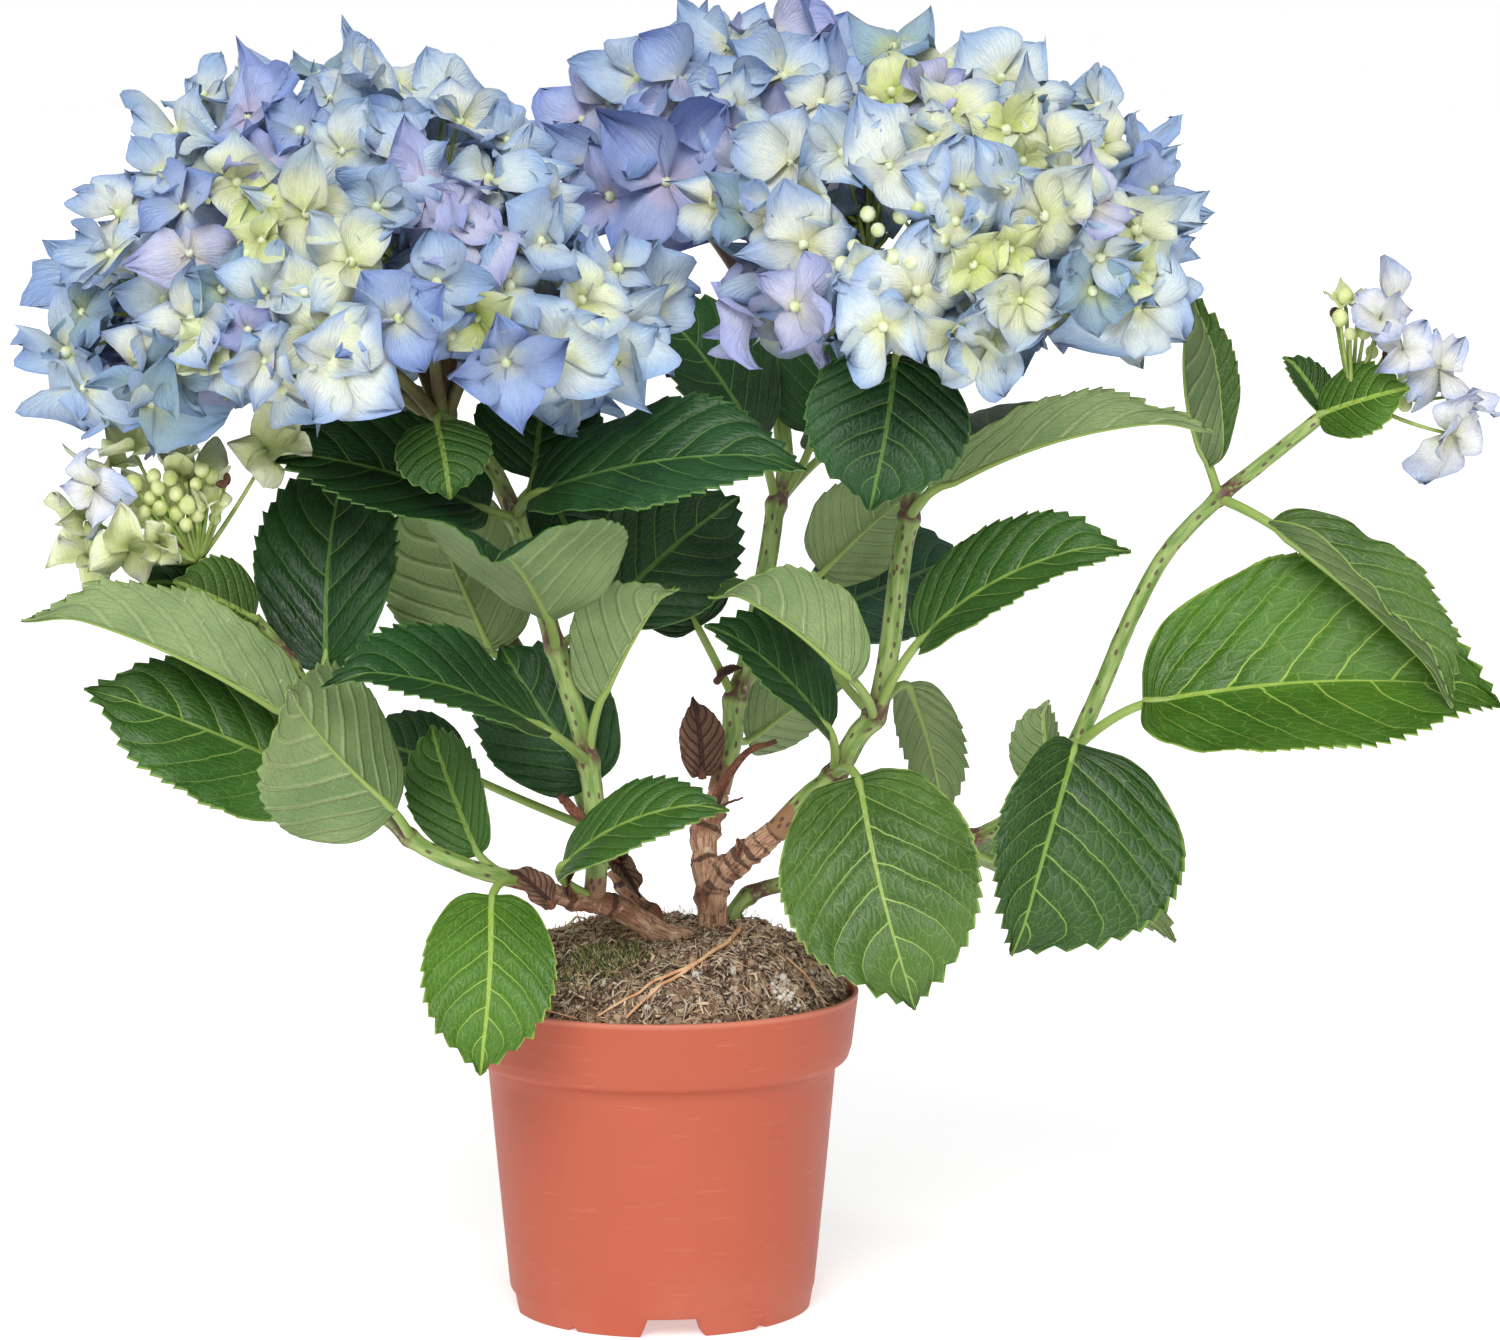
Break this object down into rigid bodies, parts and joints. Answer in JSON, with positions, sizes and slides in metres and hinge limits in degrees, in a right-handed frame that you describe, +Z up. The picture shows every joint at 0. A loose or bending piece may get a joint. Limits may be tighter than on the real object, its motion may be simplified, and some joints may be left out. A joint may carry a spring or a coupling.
{
  "type": "potted hydrangea",
  "caption": "Young mophead hydrangea in a round nursery pot: green stems with large toothed leaves, each ending in a full rounded head of pale blue florets.",
  "frame": {"origin": "middle of the flat pad under the pot", "axes": "+Z up, +X to the right of the pot's front, +Y to its back"},
  "size_m": [0.5217, 0.2719, 0.4611],
  "materials": {
    "pot_plastic": "matt terracotta-coloured moulded plastic",
    "peat": "rough fibrous peat",
    "bark": "peeling tan bark",
    "green_stem": "smooth green stem with fine purple dashes",
    "leaf": "glossy green above, pale grey-green below",
    "petal": "soft petals, pale blue to cream",
    "young_petal": "young florets and buds, pale green"
  },
  "bodies": {
    "root": {"cluster_left": "young_petal", "cluster_right": "young_petal", "head_back": "petal", "head_left": "petal", "head_right": "petal", "leaf_back_1": "leaf", "leaf_back_2": "leaf", "leaf_back_3": "leaf", "leaf_back_4": "leaf", "leaf_back_5": "leaf", "leaf_far_lower_1": "leaf", "leaf_far_lower_2": "leaf", "leaf_far_lower_3": "leaf", "leaf_far_lower_4": "leaf", "leaf_far_upper_1": "leaf", "leaf_far_upper_2": "leaf", "leaf_left_1": "leaf", "leaf_left_10": "leaf", "leaf_left_2": "leaf", "leaf_left_3": "leaf", "leaf_left_4": "leaf", "leaf_left_5": "leaf", "leaf_left_6": "leaf", "leaf_left_7": "leaf", "leaf_left_8": "leaf", "leaf_left_9": "leaf", "leaf_low_left_1": "leaf", "leaf_low_left_2": "leaf", "leaf_low_left_3": "leaf", "leaf_low_left_4": "leaf", "leaf_low_left_5": "leaf", "leaf_low_left_6": "leaf", "leaf_middle_1": "leaf", "leaf_middle_2": "leaf", "leaf_middle_3": "leaf", "leaf_middle_4": "leaf", "leaf_middle_5": "leaf", "leaf_middle_6": "leaf", "leaf_right_1": "leaf", "leaf_right_2": "leaf", "leaf_right_3": "leaf", "leaf_right_4": "leaf", "leaf_right_5": "leaf", "leaf_right_6": "leaf", "leaf_right_7": "leaf", "leaf_right_8": "leaf", "leaf_right_9": "leaf", "pot": "pot_plastic", "soil": "peat", "stem_back": "green_stem", "stem_far_lower": "green_stem", "stem_far_upper": "green_stem", "stem_left": "green_stem", "stem_low_left": "green_stem", "stem_middle": "green_stem", "stem_right": "green_stem", "stub": "bark", "wood_left": "bark", "wood_right": "bark"}
  },
  "joints": []
}
